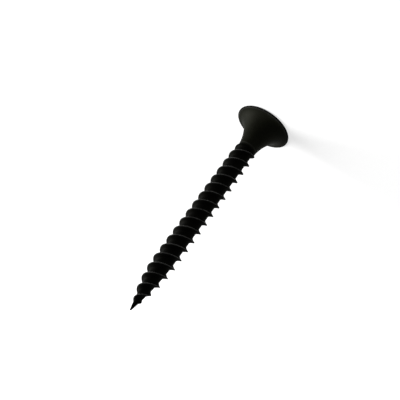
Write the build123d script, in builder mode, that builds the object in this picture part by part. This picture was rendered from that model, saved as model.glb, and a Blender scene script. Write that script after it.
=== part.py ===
from build123d import *

from math import ceil, cos, radians, sin, tan
import os

# A black drywall screw of 3.5 x 35 mm, standing on its flat head with the point up
# The origin is the centre of the head's face, +Z runs along the axis to the point

# Overall sizes
length = 35.0
head_diameter = 8.5
neck_diameter = 2.8
core_diameter = 2.34

# Bugle head, its underside is a hollow curve that leaves the neck at flare_height
rim_height = 0.30
rim_round = 0.20
flare_height = 5.3
# How far the curve keeps its direction at both ends, 0.55 would make it an ellipse
flare_pull = 0.48
neck_taper_length = 0.3

# Point, a slim ogive that ends almost sharp
point_length = 9.3
tip_diameter = 0.2

# Two-start right-hand thread that grows a little towards the point
thread_diameter = 3.62
thread_diameter_at_head = 3.48
thread_lead = 3.29
thread_starts = 2
crest_width = 0.09
ridge_width_to_point = 0.42
ridge_width_to_head = 0.41
# Height at which a ridge crosses the +X side
thread_phase_height = 5.30
# The ridges begin under the flare, are full above it, and stay full longer than the core
ridge_start_below_flare = 1.3
ridge_full_above_flare = 0.6
crest_taper_delay = 0.8
# Where the ridges end before the tip, and over what length they sink into the core there
thread_tip_gap = 0.9
thread_tip_rise = 0.9
# At the point the ridges run ahead of their even lead
thread_stretch = 0.3
thread_stretch_length = 7.0
# How deep a ridge is rooted in the core, and how deep its ends are sunk in it
ridge_root = 0.14
ridge_end_depth = 0.047
# A ridge is made of stretches, short enough for their faces to stay true
turns_per_stretch = 1.45
rail_points_per_turn = 16

# Cross recess, size 2
recess_span = 4.9
recess_wing_width = 1.05
recess_depth = 2.45
recess_floor_depth = 2.75
recess_wing_slope = 26.5
recess_side_draft = 5.75
recess_core_diameter = 2.3
recess_core_draft = 12.0

head_radius = head_diameter / 2
neck_radius = neck_diameter / 2
core_radius = core_diameter / 2
tip_radius = tip_diameter / 2
flare_length = flare_height - rim_height
flare_width = head_radius - neck_radius
core_start = flare_height + neck_taper_length
point_start = length - point_length
thread_run_out = flare_height - ridge_start_below_flare
thread_full_height = flare_height + ridge_full_above_flare
thread_taper_length = point_length - crest_taper_delay


def ogive(radius, blunt, distance, reach):
    """Radius at a distance from the tip, for a point that reaches its full radius at reach."""
    if distance >= reach:
        return radius
    left = 1 - max(distance, 0) / reach
    return blunt + (radius - blunt) * (1 - left * left)


def ramp(value, start, end):
    """Goes smoothly from 0 at start to 1 at end."""
    share = min(max((value - start) / (end - start), 0), 1)
    return share * share * (3 - 2 * share)


def core_radius_at(height):
    return ogive(core_radius, tip_radius, length - height, point_length)


def crest_radius_at(height):
    """Radius of the thread's crest, which sinks into the core at both of its ends."""
    from_tip = length - height
    growth = (height - core_start) / (length - core_start)
    full = (thread_diameter_at_head + (thread_diameter - thread_diameter_at_head) * growth) / 2
    crest = ogive(full, tip_radius, from_tip, thread_taper_length)
    buried = core_radius_at(height) - ridge_end_depth
    rise = ramp(height, thread_run_out, thread_full_height)
    rise = rise * ramp(from_tip, thread_tip_gap, thread_tip_gap + thread_tip_rise)
    return buried + (crest - buried) * rise


def root_radius_at(height):
    core = core_radius_at(height)
    return core - min(ridge_root, core / 2)


def ridge_rail(start_angle, first_turn, last_turn, offset, radius_at):
    """One edge line of a ridge, a helix whose radius follows the height."""
    steps = ceil((last_turn - first_turn) * rail_points_per_turn)
    points = []
    for step in range(steps + 1):
        turn = first_turn + (last_turn - first_turn) * step / steps
        angle = radians(start_angle + 360 * turn)
        height = thread_run_out + thread_lead * turn
        to_go = max(1 - (length - height) / thread_stretch_length, 0)
        height = height + thread_stretch * to_go * to_go
        radius = radius_at(height)
        points.append((radius * cos(angle), radius * sin(angle), height + offset))
    with BuildLine() as rail:
        Spline(points)
    return rail.edge()


def ridge_stretch(start_angle, first_turn, last_turn):
    """A stretch of one ridge, closed by a flat cap at either end."""
    rails = [
        ridge_rail(start_angle, first_turn, last_turn, -ridge_width_to_head, root_radius_at),
        ridge_rail(start_angle, first_turn, last_turn, -crest_width / 2, crest_radius_at),
        ridge_rail(start_angle, first_turn, last_turn, crest_width / 2, crest_radius_at),
        ridge_rail(start_angle, first_turn, last_turn, ridge_width_to_point, root_radius_at),
    ]
    faces = []
    for index, rail in enumerate(rails):
        faces.append(Face.make_surface_from_curves(rails[index - 1], rail))
    for end in (0, 1):
        corners = [rail.position_at(end) for rail in rails]
        faces.append(Face(Wire.make_polygon(corners, close=True)))
    return Solid(Shell(faces))


def thread_ridges():
    """Every start of the thread, each in short stretches that share their caps."""
    turns = (length - thread_tip_gap - thread_run_out) / thread_lead
    turns_below_phase = (thread_phase_height - thread_run_out) / thread_lead
    stretch_count = ceil(turns / turns_per_stretch)
    stretches = []
    for start in range(thread_starts):
        start_angle = 360 * (start / thread_starts - turns_below_phase)
        for index in range(stretch_count):
            first_turn = turns * index / stretch_count
            last_turn = turns * (index + 1) / stretch_count
            stretches.append(ridge_stretch(start_angle, first_turn, last_turn))
    return stretches


with BuildPart() as drywall_screw:
    # Head, neck, core and point are one turned form
    with BuildSketch(Plane.XZ):
        with BuildLine():
            Line((0, 0), (head_radius - rim_round, 0))
            RadiusArc((head_radius - rim_round, 0), (head_radius, rim_round), -rim_round)
            Line((head_radius, rim_round), (head_radius, rim_height))
            Bezier(
                (head_radius, rim_height),
                (head_radius - flare_pull * flare_width, rim_height),
                (neck_radius, flare_height - flare_pull * flare_length),
                (neck_radius, flare_height),
            )
            Line((neck_radius, flare_height), (core_radius, core_start))
            Line((core_radius, core_start), (core_radius, point_start))
            Bezier(
                (core_radius, point_start),
                (core_radius, length - point_length / 2),
                (tip_radius, length),
            )
            Line((tip_radius, length), (0, length))
            Line((0, length), (0, 0))
        make_face()
    revolve(axis=Axis.Z)

    # Both starts of the thread
    add(thread_ridges())

    # Cross recess, two tapered wings over a tapered core with a shallow conical floor
    for turned in (0, 90):
        for depth in (0, recess_depth):
            wing_span = recess_span - 2 * depth * tan(radians(recess_wing_slope))
            wing_width = recess_wing_width - 2 * depth * tan(radians(recess_side_draft))
            with BuildSketch(Plane.XY.offset(depth)):
                Rectangle(wing_span, wing_width, rotation=turned)
        loft(mode=Mode.SUBTRACT)
    with BuildSketch(Plane.XZ):
        core_top = recess_core_diameter / 2
        core_floor = core_top - recess_depth * tan(radians(recess_core_draft))
        with BuildLine():
            Polyline((0, 0), (core_top, 0), (core_floor, recess_depth), (0, recess_floor_depth), (0, 0))
        make_face()
    revolve(axis=Axis.Z, mode=Mode.SUBTRACT)

drywall_screw.part.label = "drywall_screw"
os.makedirs("parts", exist_ok=True)
export_step(drywall_screw.part, "parts/drywall_screw.step")
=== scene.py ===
from math import atan2, ceil, cos, floor, pi, radians, sin, sqrt, tan

import bpy
from mathutils import Matrix, Vector, noise


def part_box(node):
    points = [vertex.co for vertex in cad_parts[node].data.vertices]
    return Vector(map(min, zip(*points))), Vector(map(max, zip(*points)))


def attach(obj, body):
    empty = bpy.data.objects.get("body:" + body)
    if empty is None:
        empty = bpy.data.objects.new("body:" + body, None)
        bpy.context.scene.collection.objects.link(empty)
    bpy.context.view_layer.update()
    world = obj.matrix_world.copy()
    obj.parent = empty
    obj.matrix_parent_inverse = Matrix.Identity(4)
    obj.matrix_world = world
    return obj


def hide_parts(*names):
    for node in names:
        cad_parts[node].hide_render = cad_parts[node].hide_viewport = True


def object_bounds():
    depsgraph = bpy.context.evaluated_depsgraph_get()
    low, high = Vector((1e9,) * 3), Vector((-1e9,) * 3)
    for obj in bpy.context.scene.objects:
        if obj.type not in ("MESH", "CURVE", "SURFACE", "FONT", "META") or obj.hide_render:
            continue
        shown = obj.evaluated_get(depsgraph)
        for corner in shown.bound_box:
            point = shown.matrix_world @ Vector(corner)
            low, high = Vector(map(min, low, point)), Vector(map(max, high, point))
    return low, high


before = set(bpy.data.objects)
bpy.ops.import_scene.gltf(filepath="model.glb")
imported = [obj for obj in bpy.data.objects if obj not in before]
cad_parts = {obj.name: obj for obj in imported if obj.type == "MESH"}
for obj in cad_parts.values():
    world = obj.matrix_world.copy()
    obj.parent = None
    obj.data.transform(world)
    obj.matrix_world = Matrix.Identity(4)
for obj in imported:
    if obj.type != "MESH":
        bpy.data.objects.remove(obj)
cad_low, cad_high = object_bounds()

# A black drywall screw that stands on its flat head, point up
# Sizes of the screw are in millimetres and angles in degrees, as its maker would give them
MM = 0.001

node_low, node_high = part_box("drywall_screw")
length = (node_high.z - node_low.z) / MM
head_radius = (node_high.x - node_low.x) / MM / 2
neck_radius = 1.40
core_radius = 1.17
tip_radius = 0.10

# Bugle head, its underside is a hollow curve that leaves the neck at flare_height
rim_height = 0.30
rim_round = 0.20
rim_edge_round = 0.012
flare_height = 5.3
flare_pull = 0.48
neck_taper_length = 0.3
core_start = flare_height + neck_taper_length

# Point, a slim ogive whose very tip is a little blunt
point_length = 9.3
tip_blunt_share = 0.7
tip_blunt_height = 0.008

# Two-start right-hand thread that grows a little towards the point
thread_radius = 1.81
thread_radius_at_head = 1.74
thread_lead = 3.29
thread_starts = 2
thread_pitch = thread_lead / thread_starts
thread_phase_height = 5.30
ridge_start_below_flare = 1.3
ridge_full_above_flare = 0.6
crest_taper_delay = 0.8
thread_tip_gap = 0.9
thread_tip_rise = 0.9
thread_stretch = 0.3
thread_stretch_length = 7.0
ridge_end_depth = 0.047
thread_run_out = flare_height - ridge_start_below_flare
thread_full_height = flare_height + ridge_full_above_flare
thread_taper_length = point_length - crest_taper_delay

# Soft crests and hollow flanks of the ridges, as rolling leaves them
crest_half_width = 0.045
crest_round = 0.05
crest_unevenness = 0.04
crest_bump_density = 2.2
crest_bump_stretch = 2.0
flank_width_to_point = 0.432
flank_width_to_head = 0.444
flank_hollow_to_point = 1.35
flank_hollow_to_head = 1.68

# Cross recess with the soft edges of a cold-formed head
recess_half_span = 2.45
recess_half_width = 0.525
recess_core_radius = 1.15
recess_depth = 2.45
recess_floor_depth = 2.75
recess_wing_slope = 26.5
recess_side_draft = 5.75
recess_core_draft = 12.0
recess_edge_round = 0.07
recess_corner_round = 0.16
recess_inner_round = 0.14
recess_floor_round = 0.05

# How far the coat is rubbed off, from 0 where it is whole to 1 where steel shows
face_wear = 0.35
recess_wall_wear = 0.25
recess_edge_wear = 0.9
rim_wear = 0.15
rim_edge_wear = 0.1
flare_edge_wear = 0.2
point_wear = 0.3
tip_wear = 0.6

# A ridge is rubbed over the top share of its height, and less where it is low
crest_wear_start = 0.8
crest_wear_share = 0.2
crest_wear_height = 0.2

# Heights between which the flare's lighter colour turns to the thread's painted shade
painted_shade_start = 4.88
painted_shade_full = 5.06

# Painted highlight, a light line round the neck where the rolling of the thread ended, drawn as
# rubbed steel
neck_highlight_height = 4.69
neck_highlight_half_width = 0.13
neck_highlight_strength = 0.22

# How finely the surface is divided, with a column for each point of the recess's outline
# An eighth of that outline has 4 points more than it has steps
recess_corner_steps = 3
recess_side_steps = 3
recess_inner_steps = 2
octant_points = recess_corner_steps + recess_side_steps + recess_inner_steps + 4
columns = 8 * octant_points
flare_rows = 28
flare_row_crowding = 1.5
flare_halvings = 24
rim_edge_margin = 0.05

# Shares of the way across each form at which it has a row
recess_floor_rows = (0.2, 0.45, 0.7, 0.9, 1.0)
recess_wall_rows = (0.0, 0.25, 0.5, 0.75, 1.0)
recess_edge_rows = (0.33, 0.67, 1.0)
face_rows = (0.06, 0.3, 0.6, 0.85, 0.97)
rim_rows = (0.0, 0.2, 0.4, 0.6, 0.8, 1.0)
flank_rows = (0.0, 0.05, 0.14, 0.28, 0.45, 0.62, 0.8, 1.0)
valley_rows = (0.25, 0.5, 0.75)

# Level rows near the tip, by their distance from it, and the heights between which rows climb
tip_rows = (0.35, 0.25, 0.16, 0.08, 0.03)
helix_low = thread_run_out
helix_high = length - tip_rows[0]


def ogive(radius, blunt, distance, reach):
    """Radius at a distance from the tip, for a point that has its full radius at reach."""
    if distance >= reach:
        return radius
    left = 1 - max(distance, 0) / reach
    return blunt + (radius - blunt) * (1 - left * left)


def ramp(value, start, end):
    """Goes smoothly from 0 at start to 1 at end."""
    share = min(max((value - start) / (end - start), 0), 1)
    return share * share * (3 - 2 * share)


def flare_point(share):
    """Radius and height on the flare's curve, at a share of its way from the rim to the neck."""
    # A cubic curve that leaves the rim level and meets the neck upright
    left = 1 - share
    narrowed = 3 * left * left * share * flare_pull + 3 * left * share * share + share**3
    risen = 3 * left * share * share * (1 - flare_pull) + share**3
    radius = head_radius - (head_radius - neck_radius) * narrowed
    height = rim_height + (flare_height - rim_height) * risen
    return radius, height


def flare_radius(height):
    """Radius of the flare, found by halving the part of its curve that holds the height."""
    low, high = 0.0, 1.0
    for _ in range(flare_halvings):
        middle = (low + high) / 2
        if flare_point(middle)[1] < height:
            low = middle
        else:
            high = middle
    return flare_point(low)[0]


def point_radius(height):
    """Radius of the core, which narrows to the tip."""
    return ogive(core_radius, tip_radius, length - height, point_length)


def body_radius(height):
    """Radius without the thread, from the rim up to the tip."""
    if height < flare_height:
        return flare_radius(height)
    if height < core_start:
        share = (height - flare_height) / (core_start - flare_height)
        return neck_radius + (core_radius - neck_radius) * share
    return point_radius(height)


def ridge_height(height):
    """How far a crest stands out of the body at this height."""
    growth = (height - core_start) / (length - core_start)
    full = thread_radius_at_head + (thread_radius - thread_radius_at_head) * growth
    crest = ogive(full, tip_radius, length - height, thread_taper_length)
    buried = point_radius(height) - ridge_end_depth
    rise = ramp(height, thread_run_out, thread_full_height)
    rise = rise * ramp(length - height, thread_tip_gap, thread_tip_gap + thread_tip_rise)
    return max(buried + (crest - buried) * rise - body_radius(height), 0)


def ridge_shape(offset):
    """Share of the ridge's height at an offset from its crest, plus towards the point."""
    away = abs(offset)
    if away <= crest_half_width:
        return 1 - crest_round * (away / crest_half_width) ** 2
    if offset > 0:
        width, hollow = flank_width_to_point, flank_hollow_to_point
    else:
        width, hollow = flank_width_to_head, flank_hollow_to_head
    left = max(1 - (away - crest_half_width) / width, 0)
    return (1 - crest_round) * left**hollow


def row_offsets():
    """Offsets of the rows across one pitch, close together where the ridge bends."""
    to_point = [crest_half_width + flank_width_to_point * share for share in flank_rows]
    to_head = [-crest_half_width - flank_width_to_head * share for share in reversed(flank_rows)]
    crest = [-crest_half_width / 2, 0.0, crest_half_width / 2]
    valley_start = to_point[-1]
    valley_width = thread_pitch + to_head[0] - valley_start
    valley = [valley_start + valley_width * share for share in valley_rows]
    return to_head + crest + to_point + valley


def recess_outline(depth, grow=0.0):
    """The recess at a depth below the face, a closed cross of four rounded wings."""
    span = recess_half_span - depth * tan(radians(recess_wing_slope)) + grow
    width = recess_half_width - depth * tan(radians(recess_side_draft)) + grow
    core = recess_core_radius - depth * tan(radians(recess_core_draft)) + grow
    corner = recess_corner_round + grow
    inner = recess_inner_round - grow
    inner_x = sqrt((core + inner) ** 2 - (width + inner) ** 2)
    inner_angle = atan2(width + inner, inner_x)

    # Half a wing's end, its corner, its side, the edge towards the core and the core
    octant = [(span, 0.0), (span, (width - corner) / 2)]
    for step in range(recess_corner_steps + 1):
        angle = pi / 2 * (step / recess_corner_steps)
        octant.append((span - corner + corner * cos(angle), width - corner + corner * sin(angle)))
    for step in range(1, recess_side_steps):
        share = step / recess_side_steps
        octant.append(((span - corner) * (1 - share) + inner_x * share, width))
    for step in range(recess_inner_steps + 1):
        angle = 1.5 * pi - (pi / 2 - inner_angle) * (step / recess_inner_steps)
        octant.append((inner_x + inner * cos(angle), width + inner + inner * sin(angle)))
    angle = (inner_angle + pi / 4) / 2
    octant.append((core * cos(angle), core * sin(angle)))

    middle = (core * cos(pi / 4), core * sin(pi / 4))
    quarter = octant + [middle] + [(y, x) for x, y in reversed(octant[1:])]
    outline = []
    for quarter_turns in range(4):
        turn = Matrix.Rotation(quarter_turns * pi / 2, 2)
        for x, y in quarter:
            turned = turn @ Vector((x, y))
            outline.append((turned.x, turned.y, depth))
    return outline


class Surface:
    """Collects the points and faces of one closed surface, how worn it is and how much painted
    shade it carries.
    """

    def __init__(self):
        self.points = []
        self.wear = []
        self.painted_shade = []
        self.faces = []

    def add_point(self, point, wear=0.0, painted_shade=0.0):
        self.points.append(Vector(point) * MM)
        self.wear.append(wear)
        self.painted_shade.append(painted_shade)
        return len(self.points) - 1

    def add_row(self, points, wear=0.0, painted_shade=0.0):
        return [self.add_point(point, wear, painted_shade) for point in points]

    def add_ring(self, radius, height, wear=0.0, painted_shade=0.0):
        angles = [2 * pi * column / columns for column in range(columns)]
        points = [(radius * cos(angle), radius * sin(angle), height) for angle in angles]
        return self.add_row(points, wear, painted_shade)

    def add_end(self, height, wear=0.0):
        """A row drawn together into one point on the axis, in full painted shade."""
        return [self.add_point((0, 0, height), wear, painted_shade=1.0)] * columns

    def add_face(self, corners):
        """A face without the corners that fall together, if any of it is left."""
        kept = list(dict.fromkeys(corners))
        if len(kept) > 2:
            self.faces.append(kept)

    def join(self, row, next_row):
        for column in range(columns):
            after = (column + 1) % columns
            self.add_face((row[column], row[after], next_row[after], next_row[column]))

    def join_all(self, rows):
        for row, next_row in zip(rows, rows[1:]):
            self.join(row, next_row)


def recess_rows(surface):
    """From the middle of the recess's floor, up its walls and out to the edge of the face."""
    # Painted shade in the recess, full on its floor and walls and fading out over its rounded edge
    rows = [surface.add_end(recess_floor_depth)]
    floor_outline = recess_outline(recess_depth, -recess_floor_round)
    floor_core = recess_core_radius - recess_depth * tan(radians(recess_core_draft))
    for share in recess_floor_rows:
        points = []
        for x, y, depth in floor_outline:
            away = min(sqrt(x * x + y * y) * share / floor_core, 1)
            sunk = (recess_floor_depth - recess_depth) * (1 - away)
            points.append((x * share, y * share, depth + sunk))
        rows.append(surface.add_row(points, painted_shade=1.0))

    wall_start = recess_depth - recess_floor_round
    for share in recess_wall_rows:
        outline = recess_outline(wall_start + (recess_edge_round - wall_start) * share)
        rows.append(surface.add_row(outline, wear=recess_wall_wear * share, painted_shade=1.0))

    for share in recess_edge_rows:
        angle = pi / 2 * share
        outline = recess_outline(0, recess_edge_round * (1 - cos(angle)))
        height = recess_edge_round * (1 - sin(angle))
        points = [(x, y, height) for x, y, _ in outline]
        rows.append(surface.add_row(points, wear=recess_edge_wear, painted_shade=1.0 - share))

    edge = recess_outline(0, recess_edge_round)
    flat_radius = head_radius - rim_round
    for share in face_rows:
        points = []
        for column, (x, y, _) in enumerate(edge):
            angle = 2 * pi * column / columns
            outer_x = flat_radius * cos(angle)
            outer_y = flat_radius * sin(angle)
            points.append((x + (outer_x - x) * share, y + (outer_y - y) * share, 0))
        rows.append(surface.add_row(points, wear=face_wear))
    return rows


def head_rows(surface):
    """Round the rim and along the flare to the neck, where the thread's rows begin."""
    rows = []
    # Painted shade that grows round the rim and is full on its side
    for share in rim_rows:
        angle = pi / 2 * share
        radius = head_radius - rim_round + rim_round * sin(angle)
        height = rim_round * (1 - cos(angle))
        rows.append(surface.add_ring(radius, height, wear=rim_wear, painted_shade=share))

    # The rim's upper edge, with a row just below it and the flare's first one just above
    rows.append(surface.add_ring(head_radius, rim_height - rim_edge_margin, painted_shade=1.0))
    edge_radius = head_radius - rim_edge_round
    edge_height = rim_height - rim_edge_round
    rows.append(surface.add_ring(edge_radius, edge_height, wear=rim_edge_wear, painted_shade=1.0))

    flare_low = rim_height + rim_edge_margin / 2
    for step in range(flare_rows + 1):
        share = (step / flare_rows) ** flare_row_crowding
        height = flare_low + (helix_low - flare_low) * share
        wear = flare_edge_wear if step == 0 else 0.0
        rows.append(surface.add_ring(body_radius(height), height, wear=wear))
    return rows


def climbed_height(level, turn):
    """Height of a thread row after part of a turn, ahead of its even lead near the tip."""
    height = level + thread_lead * turn
    to_go = max(1 - (length - height) / thread_stretch_length, 0)
    return height + thread_stretch * to_go * to_go


def add_thread_point(surface, offset, turn, height):
    """One point of the thread, with its unevenness, its wear and its painted shade."""
    angle = 2 * pi * turn
    place = Vector((cos(angle), sin(angle), height / crest_bump_stretch))
    shape = ridge_shape(offset)
    uneven = crest_unevenness * (1 + noise.noise(place * crest_bump_density)) / 2
    ridge = ridge_height(height) * shape * (1 - uneven * shape)
    radius = body_radius(height) + ridge
    point = (radius * cos(angle), radius * sin(angle), height)
    wear = max(shape - crest_wear_start, 0) / crest_wear_share * min(ridge / crest_wear_height, 1)
    # Painted shade, from none on the neck to full on the thread
    painted_shade = ramp(height, painted_shade_start, painted_shade_full)
    return surface.add_point(point, wear, painted_shade)


def thread_surface(surface, low_ring, high_ring):
    """Rows that climb with the thread, closed by a level ring at either end."""
    offsets = row_offsets()
    first = floor((helix_low - thread_phase_height - thread_lead) / thread_pitch)
    last = ceil((helix_high - thread_phase_height) / thread_pitch) + 1
    rows = []
    for pitch in range(first, last):
        rows.extend((pitch * thread_pitch, offset) for offset in offsets)
    rows_per_lead = thread_starts * len(offsets)
    made = {}

    def point_at(row, column):
        # After a whole turn a row goes on as the one that lies a lead higher
        if column == columns:
            row, column = row + rows_per_lead, 0
        if row >= len(rows):
            return high_ring[column]
        rise, offset = rows[row]
        turn = column / columns
        height = climbed_height(thread_phase_height + rise + offset, turn)
        if height <= helix_low:
            return low_ring[column]
        if height >= helix_high:
            return high_ring[column]
        if (row, column) not in made:
            made[row, column] = add_thread_point(surface, offset, turn, height)
        return made[row, column]

    for row in range(len(rows) - 1):
        for column in range(columns):
            corners = ((row, column), (row, column + 1), (row + 1, column + 1), (row + 1, column))
            surface.add_face([point_at(*corner) for corner in corners])


def make_screw():
    """The whole screw as one closed mesh, which carries its wear and its painted shade."""
    surface = Surface()
    lower = recess_rows(surface) + head_rows(surface)
    surface.join_all(lower)
    upper = []
    # The point carries the full painted shade, as the thread does
    for left in tip_rows:
        height = length - left
        upper.append(surface.add_ring(body_radius(height), height, wear=point_wear, painted_shade=1.0))
    blunt_radius = tip_radius * tip_blunt_share
    upper.append(surface.add_ring(blunt_radius, length - tip_blunt_height, wear=tip_wear, painted_shade=1.0))
    upper.append(surface.add_end(length, wear=tip_wear))
    surface.join_all(upper)
    thread_surface(surface, lower[-1], upper[0])

    mesh = bpy.data.meshes.new("screw")
    mesh.from_pydata(surface.points, [], surface.faces)
    mesh.shade_smooth()
    for name, values in (("wear", surface.wear), ("painted_shade", surface.painted_shade)):
        mesh.attributes.new(name, "FLOAT", "POINT").data.foreach_set("value", values)
    mesh.validate()
    screw = bpy.data.objects.new("screw", mesh)
    bpy.context.collection.objects.link(screw)
    return screw


def make_material(name):
    material = bpy.data.materials.new(name)
    material.use_nodes = True
    tree = material.node_tree
    return material, tree, tree.nodes["Principled BSDF"]


def add_node(tree, kind, **settings):
    node = tree.nodes.new(kind)
    for name, value in settings.items():
        setattr(node, name, value)
    return node


def noise_at(tree, place, per_mm, detail, roughness):
    node = add_node(tree, "ShaderNodeTexNoise")
    node.inputs["Scale"].default_value = per_mm / MM
    node.inputs["Detail"].default_value = detail
    node.inputs["Roughness"].default_value = roughness
    tree.links.new(place, node.inputs["Vector"])
    return node.outputs["Fac"]


def mapped(tree, value, old_range, new_range):
    """Carries a value from one range to another, and holds it within the new one."""
    node = add_node(tree, "ShaderNodeMapRange")
    node.inputs["From Min"].default_value = old_range[0]
    node.inputs["From Max"].default_value = old_range[1]
    node.inputs["To Min"].default_value = new_range[0]
    node.inputs["To Max"].default_value = new_range[1]
    tree.links.new(value, node.inputs["Value"])
    return node.outputs["Result"]


def maths(tree, operation, first, second):
    node = add_node(tree, "ShaderNodeMath", operation=operation)
    for socket, value in zip(node.inputs, (first, second)):
        if isinstance(value, float):
            socket.default_value = value
        else:
            tree.links.new(value, socket)
    return node.outputs["Value"]


def mixed_colour(tree, share, first, second):
    node = add_node(tree, "ShaderNodeMix", data_type="RGBA")
    tree.links.new(share, node.inputs["Factor"])
    for socket, colour in ((node.inputs["A"], first), (node.inputs["B"], second)):
        if isinstance(colour, tuple):
            socket.default_value = (*colour, 1)
        else:
            tree.links.new(colour, socket)
    return node.outputs["Result"]


# Colours as they render; the thread, the point, the recess and the rim's side take far darker
# colours than the flare, a painted shade
flare_dark = (0.0028, 0.0029, 0.0019)
flare_light = (0.0068, 0.0070, 0.0047)
painted_shade_dark = (0.0007, 0.0007, 0.0006)
painted_shade_light = (0.0021, 0.0021, 0.0018)
worn_steel = (0.12, 0.12, 0.117)
flare_specular = 0.017
painted_shade_specular = 0.008
gloss_tint = (1.0, 1.03, 0.70)
rubbed_metallic = 0.15
rubbed_roughness = 0.40
coated_roughness = 0.60

# Texture of the coat, soft clouds, a fine grain and the crystals
cloud_noise = {"per_mm": 0.9, "detail": 4.0, "roughness": 0.6}
grain_noise = {"per_mm": 14.0, "detail": 3.0, "roughness": 0.65}
crystals_per_mm = 22.0
cloud_share = 0.6
grain_share = 0.4
crystal_relief = 0.35
bump_strength = 0.5
bump_height = 0.006

# Ranges of the textures that tell, and the wear left where the grain or the cloud is low
whole_range = (0.0, 1.0)
coat_contrast = (0.32, 0.68)
grain_contrast = (0.35, 0.6)
cloud_contrast = (0.3, 0.65)
grain_wear = (0.15, 1.0)
cloud_wear = (0.35, 1.0)


def painted_neck_highlight(tree, place):
    """Painted highlight of the line round the neck, added to the wear, none away from its height.
    """
    parts = add_node(tree, "ShaderNodeSeparateXYZ")
    tree.links.new(place, parts.inputs["Vector"])
    above = maths(tree, "SUBTRACT", parts.outputs["Z"], neck_highlight_height * MM)
    away = maths(tree, "ABSOLUTE", above, 0.0)
    return mapped(tree, away, (0.0, neck_highlight_half_width * MM), (neck_highlight_strength, 0.0))


def make_phosphate():
    """Black phosphate on steel, a fine dull crystal coat that is rubbed thin on the edges, with
    painted shade and a painted highlight.
    """
    material, tree, shader = make_material("black_phosphate")
    place = add_node(tree, "ShaderNodeTexCoord").outputs["Object"]
    cloud = noise_at(tree, place, **cloud_noise)
    grain = noise_at(tree, place, **grain_noise)
    crystal = add_node(tree, "ShaderNodeTexVoronoi", feature="F1")
    crystal.inputs["Scale"].default_value = crystals_per_mm / MM
    tree.links.new(place, crystal.inputs["Vector"])
    wear = add_node(tree, "ShaderNodeAttribute", attribute_name="wear").outputs["Fac"]
    # The painted highlight round the neck joins the wear here
    wear = maths(tree, "MAXIMUM", wear, painted_neck_highlight(tree, place))
    # Share of the painted shade, full on the thread, point, recess and rim's side
    painted_shade = add_node(tree, "ShaderNodeAttribute", attribute_name="painted_shade").outputs["Fac"]

    cloud_part = maths(tree, "MULTIPLY", cloud, cloud_share)
    grain_part = maths(tree, "MULTIPLY", grain, grain_share)
    coat = maths(tree, "ADD", cloud_part, grain_part)
    coat = mapped(tree, coat, coat_contrast, whole_range)
    # Wear and the neck's painted highlight, weaker where the grain and the cloud are low
    wear_and_highlight = maths(tree, "MULTIPLY", wear, mapped(tree, grain, grain_contrast, grain_wear))
    wear_and_highlight = maths(tree, "MULTIPLY", wear_and_highlight, mapped(tree, cloud, cloud_contrast, cloud_wear))

    flare_colour = mixed_colour(tree, coat, flare_dark, flare_light)
    painted_shade_colour = mixed_colour(tree, coat, painted_shade_dark, painted_shade_light)
    # Painted shade, the darker colours wherever the mesh carries it
    colour = mixed_colour(tree, painted_shade, flare_colour, painted_shade_colour)
    colour = mixed_colour(tree, wear_and_highlight, colour, worn_steel)
    tree.links.new(colour, shader.inputs["Base Color"])
    metallic = maths(tree, "MULTIPLY", wear_and_highlight, rubbed_metallic)
    tree.links.new(metallic, shader.inputs["Metallic"])
    whole = maths(tree, "SUBTRACT", coat, wear_and_highlight)
    roughness = mapped(tree, whole, (-1.0, 1.0), (rubbed_roughness, coated_roughness))
    tree.links.new(roughness, shader.inputs["Roughness"])
    # The painted shade also weakens the gloss
    specular = mapped(tree, painted_shade, whole_range, (flare_specular, painted_shade_specular))
    tree.links.new(specular, shader.inputs["Specular IOR Level"])
    shader.inputs["Specular Tint"].default_value = (*gloss_tint, 1)

    bump = add_node(tree, "ShaderNodeBump")
    bump.inputs["Strength"].default_value = bump_strength
    bump.inputs["Distance"].default_value = bump_height * MM
    crystal_part = maths(tree, "MULTIPLY", crystal.outputs["Distance"], crystal_relief)
    tree.links.new(maths(tree, "ADD", grain, crystal_part), bump.inputs["Height"])
    tree.links.new(bump.outputs["Normal"], shader.inputs["Normal"])
    return material


def seen_or_mirrored(tree):
    """1 for what the camera, a reflection or clear glass sees, 0 for what lights the object."""
    path = add_node(tree, "ShaderNodeLightPath")
    seen = maths(tree, "ADD", path.outputs["Is Camera Ray"], path.outputs["Is Glossy Ray"])
    seen = maths(tree, "ADD", seen, path.outputs["Is Transmission Ray"])
    return maths(tree, "MINIMUM", seen, 1.0)


# Floor and lights, in metres and watts, the floor glows only where it is seen or mirrored
floor_half = 0.6
floor_drop = 0.00002
floor_colour = (0.7, 0.7, 0.7)
floor_shadow_colour = (0.35, 0.35, 0.35)
floor_fade = (0.03, 0.12)
floor_glow = (0.72, 1.0)
world_light = 0.03
world_seen = 1.0
key_light = {"place": (0.21, 0.10, 0.13), "size": 0.16, "power": 1.8}
fill_light = {"place": (-0.22, 0.06, 0.05), "size": 0.10, "power": 0.04}
top_light = {"place": (0.0, 0.02, 0.36), "size": 0.30, "power": 0.06}


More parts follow.
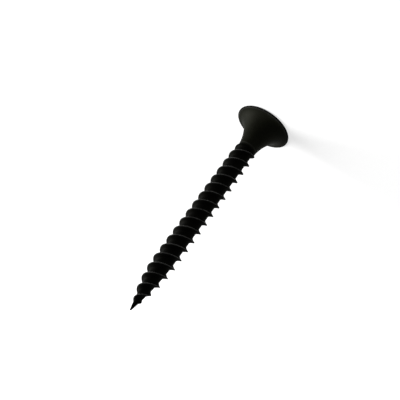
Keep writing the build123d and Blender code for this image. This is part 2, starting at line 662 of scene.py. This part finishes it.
def make_floor():
    """A large pale floor, white to the camera apart from the object's shadow."""
    material, tree, shader = make_material("floor")
    shader.inputs["Base Color"].default_value = (*floor_colour, 1)
    shader.inputs["Roughness"].default_value = 1.0
    shader.inputs["Specular IOR Level"].default_value = 0.0
    shadow_catcher = add_node(tree, "ShaderNodeBsdfDiffuse")
    shadow_catcher.inputs["Color"].default_value = (*floor_shadow_colour, 1)
    glow = add_node(tree, "ShaderNodeEmission")
    place = add_node(tree, "ShaderNodeTexCoord").outputs["Object"]
    away = add_node(tree, "ShaderNodeVectorMath", operation="LENGTH")
    tree.links.new(place, away.inputs[0])
    strength = mapped(tree, away.outputs["Value"], floor_fade, floor_glow)
    tree.links.new(strength, glow.inputs["Strength"])
    bright = add_node(tree, "ShaderNodeAddShader")
    tree.links.new(shadow_catcher.outputs["BSDF"], bright.inputs[0])
    tree.links.new(glow.outputs["Emission"], bright.inputs[1])
    choice = add_node(tree, "ShaderNodeMixShader")
    tree.links.new(seen_or_mirrored(tree), choice.inputs["Fac"])
    tree.links.new(shader.outputs["BSDF"], choice.inputs[1])
    tree.links.new(bright.outputs["Shader"], choice.inputs[2])
    tree.links.new(choice.outputs["Shader"], tree.nodes["Material Output"].inputs["Surface"])

    mesh = bpy.data.meshes.new("floor")
    signs = ((-1, -1), (1, -1), (1, 1), (-1, 1))
    corners = [(floor_half * x, floor_half * y, 0) for x, y in signs]
    mesh.from_pydata(corners, [], [(0, 1, 2, 3)])
    mesh.materials.append(material)
    floor_object = bpy.data.objects.new("floor", mesh)
    floor_object.location.z = -floor_drop
    bpy.context.collection.objects.link(floor_object)


def make_world():
    """White where it is seen or mirrored, and a faint even light on the object."""
    world = bpy.data.worlds.new("studio")
    bpy.context.scene.world = world
    world.use_nodes = True
    tree = world.node_tree
    background = tree.nodes["Background"]
    background.inputs["Color"].default_value = (1, 1, 1, 1)
    strength = mapped(tree, seen_or_mirrored(tree), whole_range, (world_light, world_seen))
    tree.links.new(strength, background.inputs["Strength"])


def add_softbox(name, place, size, power):
    """A square lamp that faces the middle of the screw."""
    lamp = bpy.data.lights.new(name, "AREA")
    lamp.size = size
    lamp.energy = power
    softbox = bpy.data.objects.new(name, lamp)
    bpy.context.collection.objects.link(softbox)
    softbox.location = place
    middle = (cad_low + cad_high) / 2
    softbox.rotation_euler = (middle - Vector(place)).to_track_quat("-Z", "Y").to_euler()


# The camera looks down on the screw, and its picture is rolled so that the point is low
# Like the screw's sizes, these are in millimetres and degrees
camera_elevation = 25.41
camera_roll = 143.84
camera_distance = 142.87
camera_target = (1.154, 0.0, 15.90)
camera_clearance = 1.0
focal_length = 91.33
sensor_width = 36.0


def make_camera():
    elevation = radians(camera_elevation)
    roll = radians(camera_roll)
    back = Vector((0, -cos(elevation), sin(elevation)))
    level_up = Vector((0, sin(elevation), cos(elevation)))
    level_right = Vector((1, 0, 0))
    up = level_up * cos(roll) + level_right * sin(roll)
    right = level_right * cos(roll) - level_up * sin(roll)
    place = (Vector(camera_target) + back * camera_distance) * MM

    lens = bpy.data.cameras.new("camera")
    lens.lens = focal_length
    lens.sensor_width = sensor_width
    lens.clip_start = camera_clearance * MM
    camera = bpy.data.objects.new("camera", lens)
    bpy.context.collection.objects.link(camera)
    turned = Matrix((right, up, back)).transposed().to_4x4()
    camera.matrix_world = Matrix.Translation(place) @ turned
    bpy.context.scene.camera = camera


screw = make_screw()
screw.data.materials.append(make_phosphate())
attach(screw, "root")
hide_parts("drywall_screw")

make_floor()
make_world()
add_softbox("key_softbox", **key_light)
add_softbox("fill_softbox", **fill_light)
add_softbox("top_softbox", **top_light)
make_camera()
bpy.context.scene.view_settings.view_transform = "Standard"
